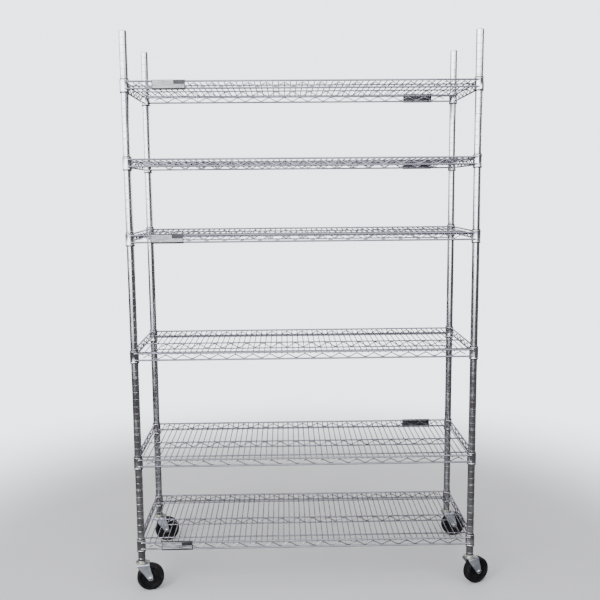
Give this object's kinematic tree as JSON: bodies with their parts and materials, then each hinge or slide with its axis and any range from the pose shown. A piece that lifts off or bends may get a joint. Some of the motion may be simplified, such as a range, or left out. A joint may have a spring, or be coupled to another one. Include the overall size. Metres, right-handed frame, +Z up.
{
  "type": "mobile wire shelving rack",
  "caption": "Mobile chrome wire rack with adjustable welded shelves on grooved round posts, standing on swivel casters; shelves lift off tapered split sleeves.",
  "frame": {"origin": "on the floor, midway between the four posts", "axes": "+X along the rack to its right, +Y to its back, +Z up"},
  "size_m": [1.28, 0.4778, 1.946],
  "materials": {
    "chrome_tube": "bright chrome plated, polished",
    "chrome_wire": "bright chrome plated wire",
    "chrome_collar": "bright chrome plated casting",
    "cap_plastic": "grey moulded plastic",
    "socket_plastic": "black moulded plastic",
    "sleeve_plastic": "black moulded plastic",
    "zinc_plate": "bright zinc plated, faint yellow passivation",
    "zinc_bolt": "bright zinc plated",
    "ball_steel": "polished steel, lightly greased",
    "wheel_plastic": "black moulded plastic",
    "tyre_rubber": "black rubber, dusty tread",
    "label_sheet": "grey moulded strip, dusty"
  },
  "bodies": {
    "post_frame": {"front_left_post": "chrome_tube", "front_right_post": "chrome_tube", "back_left_post": "chrome_tube", "back_right_post": "chrome_tube", "post_caps": "cap_plastic", "post_stem_sockets": "socket_plastic", "caster_stems": "zinc_plate", "caster_race_cups": "zinc_plate", "swivel_bearing_balls": "ball_steel", "split_post_sleeves": "sleeve_plastic"},
    "shelf_1": {"shelf_1_surface_grille": "chrome_wire", "shelf_1_frame_wires": "chrome_wire", "shelf_1_truss_waves": "chrome_wire", "shelf_1_corner_collars": "chrome_collar", "shelf_1_label_holders": "label_sheet"},
    "shelf_2": {"shelf_2_surface_grille": "chrome_wire", "shelf_2_frame_wires": "chrome_wire", "shelf_2_truss_waves": "chrome_wire", "shelf_2_corner_collars": "chrome_collar", "shelf_2_label_holders": "label_sheet"},
    "shelf_3": {"shelf_3_surface_grille": "chrome_wire", "shelf_3_frame_wires": "chrome_wire", "shelf_3_truss_waves": "chrome_wire", "shelf_3_corner_collars": "chrome_collar"},
    "shelf_4": {"shelf_4_surface_grille": "chrome_wire", "shelf_4_frame_wires": "chrome_wire", "shelf_4_truss_waves": "chrome_wire", "shelf_4_corner_collars": "chrome_collar", "shelf_4_label_holders": "label_sheet"},
    "shelf_5": {"shelf_5_surface_grille": "chrome_wire", "shelf_5_frame_wires": "chrome_wire", "shelf_5_truss_waves": "chrome_wire", "shelf_5_corner_collars": "chrome_collar", "shelf_5_label_holders": "label_sheet"},
    "shelf_6": {"shelf_6_surface_grille": "chrome_wire", "shelf_6_frame_wires": "chrome_wire", "shelf_6_truss_waves": "chrome_wire", "shelf_6_corner_collars": "chrome_collar", "shelf_6_label_holders": "label_sheet"},
    "front_left_swivel": {"front_left_caster_fork": "zinc_plate", "front_left_axle_bolt": "zinc_bolt", "front_left_wheel_bushing": "ball_steel"},
    "front_left_wheel": {"front_left_wheel_core": "wheel_plastic", "front_left_wheel_tyre": "tyre_rubber"},
    "front_right_swivel": {"front_right_caster_fork": "zinc_plate", "front_right_axle_bolt": "zinc_bolt", "front_right_wheel_bushing": "ball_steel"},
    "front_right_wheel": {"front_right_wheel_core": "wheel_plastic", "front_right_wheel_tyre": "tyre_rubber"},
    "back_left_swivel": {"back_left_caster_fork": "zinc_plate", "back_left_axle_bolt": "zinc_bolt", "back_left_wheel_bushing": "ball_steel"},
    "back_left_wheel": {"back_left_wheel_core": "wheel_plastic", "back_left_wheel_tyre": "tyre_rubber"},
    "back_right_swivel": {"back_right_caster_fork": "zinc_plate", "back_right_axle_bolt": "zinc_bolt", "back_right_wheel_bushing": "ball_steel"},
    "back_right_wheel": {"back_right_wheel_core": "wheel_plastic", "back_right_wheel_tyre": "tyre_rubber"}
  },
  "joints": [
    {"name": "shelf_1_lift", "type": "slide", "parent": "post_frame", "child": "shelf_1", "axis": [0, 0, 1], "range_m": [0, 0.26]},
    {"name": "shelf_2_lift", "type": "slide", "parent": "post_frame", "child": "shelf_2", "axis": [0, 0, 1], "range_m": [0, 0.336]},
    {"name": "shelf_3_lift", "type": "slide", "parent": "post_frame", "child": "shelf_3", "axis": [0, 0, 1], "range_m": [0, 0.361]},
    {"name": "shelf_4_lift", "type": "slide", "parent": "post_frame", "child": "shelf_4", "axis": [0, 0, 1], "range_m": [0, 0.209]},
    {"name": "shelf_5_lift", "type": "slide", "parent": "post_frame", "child": "shelf_5", "axis": [0, 0, 1], "range_m": [0, 0.209]},
    {"name": "shelf_6_lift", "type": "slide", "parent": "post_frame", "child": "shelf_6", "axis": [0, 0, 1], "range_m": [0, 0.19]},
    {"name": "front_left_swivel", "type": "hinge", "parent": "post_frame", "child": "front_left_swivel", "pos_m": [-0.59055, -0.20955, 0.1], "axis": [0, 0, 1], "continuous": true},
    {"name": "front_left_wheel_spin", "type": "hinge", "parent": "front_left_swivel", "child": "front_left_wheel", "pos_m": [-0.56183, -0.20551, 0.048], "axis": [-0.1392, 0.9903, 0], "continuous": true},
    {"name": "front_right_swivel", "type": "hinge", "parent": "post_frame", "child": "front_right_swivel", "pos_m": [0.59055, -0.20955, 0.1], "axis": [0, 0, 1], "continuous": true},
    {"name": "front_right_wheel_spin", "type": "hinge", "parent": "front_right_swivel", "child": "front_right_wheel", "pos_m": [0.61683, -0.19729, 0.048], "axis": [-0.4226, 0.9063, 0], "continuous": true},
    {"name": "back_left_swivel", "type": "hinge", "parent": "post_frame", "child": "back_left_swivel", "pos_m": [-0.59055, 0.20955, 0.1], "axis": [0, 0, 1], "continuous": true},
    {"name": "back_left_wheel_spin", "type": "hinge", "parent": "back_left_swivel", "child": "back_left_wheel", "pos_m": [-0.56166, 0.21208, 0.048], "axis": [-0.0872, 0.9962, 0], "continuous": true},
    {"name": "back_right_swivel", "type": "hinge", "parent": "post_frame", "child": "back_right_swivel", "pos_m": [0.59055, 0.20955, 0.1], "axis": [0, 0, 1], "continuous": true},
    {"name": "back_right_wheel_spin", "type": "hinge", "parent": "back_right_swivel", "child": "back_right_wheel", "pos_m": [0.61927, 0.21359, 0.048], "axis": [-0.1392, 0.9903, 0], "continuous": true}
  ]
}
